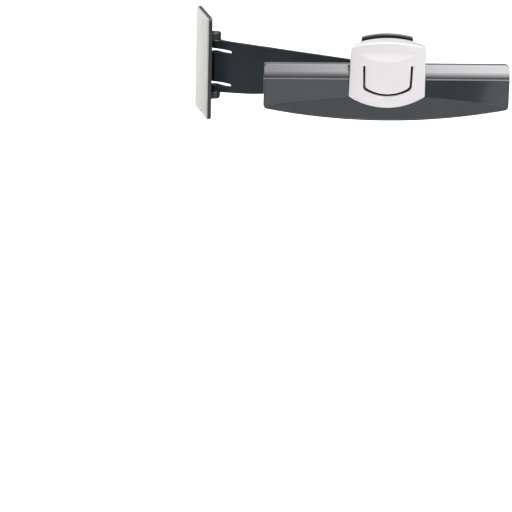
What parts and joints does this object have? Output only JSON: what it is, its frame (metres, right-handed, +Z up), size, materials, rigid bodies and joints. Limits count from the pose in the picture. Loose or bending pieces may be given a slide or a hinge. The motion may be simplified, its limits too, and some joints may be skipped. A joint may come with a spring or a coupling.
{
  "type": "monitor document clip",
  "caption": "Swing-arm document clip for the side of a monitor: adhesive plate, hinged flat arm, swivelling bar and a sprung front jaw that grips paper.",
  "frame": {"origin": "centre of the adhesive face, in the plane of the monitor's side", "axes": "+X out of the monitor's side, -Y towards the person at the desk, +Z up"},
  "size_m": [0.2259, 0.1669, 0.095],
  "materials": {
    "plate_plastic": "satin moulded",
    "foam": "matte white foam",
    "steel": "ground",
    "nylon": "natural nylon",
    "arm_plastic": "satin moulded",
    "back_plastic": "semi-gloss moulded",
    "bar_plastic": "glossy moulded",
    "grip_rubber": "matte",
    "black_steel": "black zinc",
    "spring_steel": "oiled spring steel",
    "jaw_plastic": "satin pearl silver"
  },
  "bodies": {
    "mount": {"mount_plate": "plate_plastic", "adhesive_pad": "foam", "hinge_pin_upper": "steel", "hinge_pin_lower": "steel", "hinge_washer_upper": "nylon", "hinge_washer_lower": "nylon"},
    "arm": {"swing_arm": "arm_plastic", "swivel_washer_upper": "nylon", "swivel_washer_lower": "nylon"},
    "head": {"clip_back": "back_plastic", "document_bar": "bar_plastic", "bar_pad": "grip_rubber", "bar_screws": "black_steel", "swivel_pin": "steel", "swivel_clip": "spring_steel", "swivel_spring_washer": "spring_steel", "jaw_pin": "steel", "jaw_spring": "spring_steel"},
    "jaw": {"front_jaw": "jaw_plastic", "jaw_pad": "grip_rubber"}
  },
  "joints": [
    {"name": "arm_swing", "type": "hinge", "parent": "mount", "child": "arm", "pos_m": [0.009, -0.014, 0], "axis": [0, 0, 1], "range_deg": [-51.2, 128.8]},
    {"name": "head_swivel", "type": "hinge", "parent": "arm", "child": "head", "pos_m": [0.12867, -0.11021, 0.012], "axis": [0, 0, 1], "range_deg": [-27.9, 152.1]},
    {"name": "jaw_open", "type": "hinge", "parent": "head", "child": "jaw", "pos_m": [0.12583, -0.12494, 0.031], "axis": [-0.982, 0.1891, 0], "range_deg": [0, 16], "stiffness_Nm_per_rad": 0.6, "springref_deg": -20.05, "deforming": ["jaw_spring"]}
  ]
}
